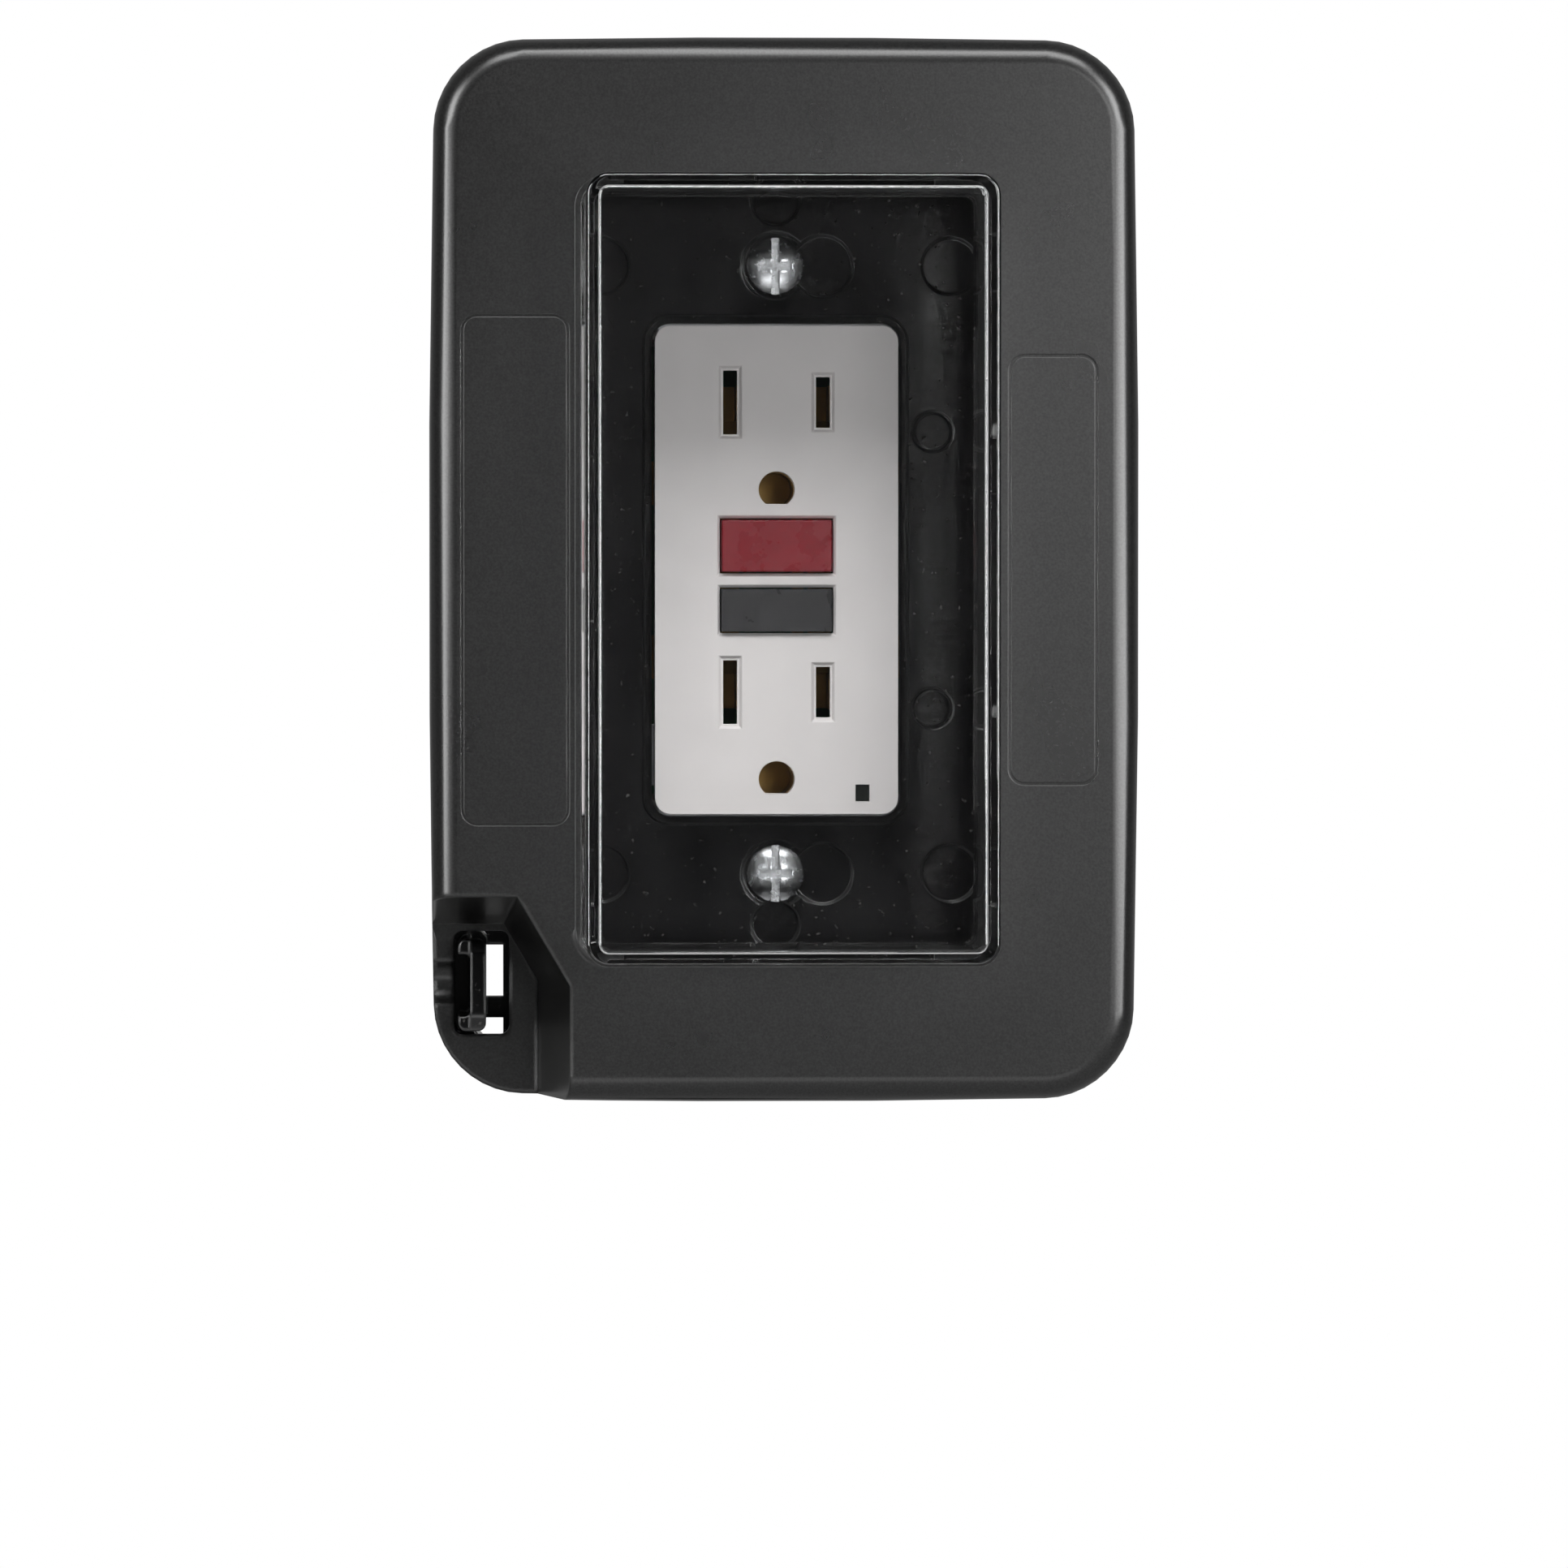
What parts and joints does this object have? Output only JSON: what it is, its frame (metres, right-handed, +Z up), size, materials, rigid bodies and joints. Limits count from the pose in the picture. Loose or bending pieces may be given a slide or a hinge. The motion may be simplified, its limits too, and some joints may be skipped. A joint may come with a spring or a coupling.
{
  "type": "weatherproof in-use outlet cover",
  "caption": "Black weatherproof cover with a lockable hinged lid and a clear hood that slides out over a plug, on a fault-protected wall outlet.",
  "frame": {"origin": "midpoint of the two mounting screws, on the wall plane behind the gasket", "axes": "+X to the right seen from the front, +Z up, the front faces -Y and the wall lies at Y = 0"},
  "size_m": [0.0948, 0.1093, 0.1418],
  "materials": {
    "gasket_foam": "matte closed-cell foam",
    "base_plastic": "glossy moulded black",
    "lid_plastic": "fine satin texture",
    "clear_plastic": "clear moulded polycarbonate",
    "pin_steel": "bright steel",
    "receptacle_plastic": "smooth satin",
    "housing_plastic": "smooth satin",
    "yoke_steel": "zinc-plated sheet",
    "reset_plastic": "smooth",
    "test_plastic": "smooth",
    "spring_steel": "bright wire",
    "lens_plastic": "clear",
    "board_laminate": "solder mask",
    "coil_copper": "wound copper",
    "solenoid_steel": "steel frame",
    "contact_brass": "bright",
    "screw_zinc": "zinc-plated",
    "screw_green": "green plated"
  },
  "bodies": {
    "housing": {"wall_gasket": "gasket_foam", "base": "base_plastic", "hinge_pin_upper": "pin_steel", "hinge_pin_lower": "pin_steel", "receptacle_face": "receptacle_plastic", "receptacle_body": "housing_plastic", "yoke": "yoke_steel", "reset_spring": "spring_steel", "test_spring": "spring_steel", "indicator_lens": "lens_plastic", "circuit_board": "board_laminate", "sensing_coil": "coil_copper", "trip_solenoid": "solenoid_steel", "hot_contacts": "contact_brass", "neutral_contacts": "contact_brass", "ground_strap": "contact_brass", "hot_terminal_screws": "contact_brass", "neutral_terminal_screws": "screw_zinc", "ground_screw": "screw_green", "mounting_screw_top": "screw_zinc", "mounting_screw_bottom": "screw_zinc"},
    "lid": {"lid": "lid_plastic"},
    "hood": {"hood": "clear_plastic"},
    "reset_button": {"reset_button": "reset_plastic"},
    "test_button": {"test_button": "test_plastic"}
  },
  "joints": [
    {"name": "lid_hinge", "type": "hinge", "parent": "housing", "child": "lid", "pos_m": [0.0438, -0.017, 0], "axis": [0, 0, 1], "range_deg": [0, 110]},
    {"name": "hood_slide", "type": "slide", "parent": "lid", "child": "hood", "axis": [0, 1, 0], "range_m": [0, 0.0343]},
    {"name": "reset_press", "type": "slide", "parent": "housing", "child": "reset_button", "axis": [0, 1, 0], "range_m": [0, 0.0012], "stiffness_N_per_m": 800, "deforming": ["reset_spring"]},
    {"name": "test_press", "type": "slide", "parent": "housing", "child": "test_button", "axis": [0, 1, 0], "range_m": [0, 0.0012], "stiffness_N_per_m": 800, "deforming": ["test_spring"]}
  ]
}
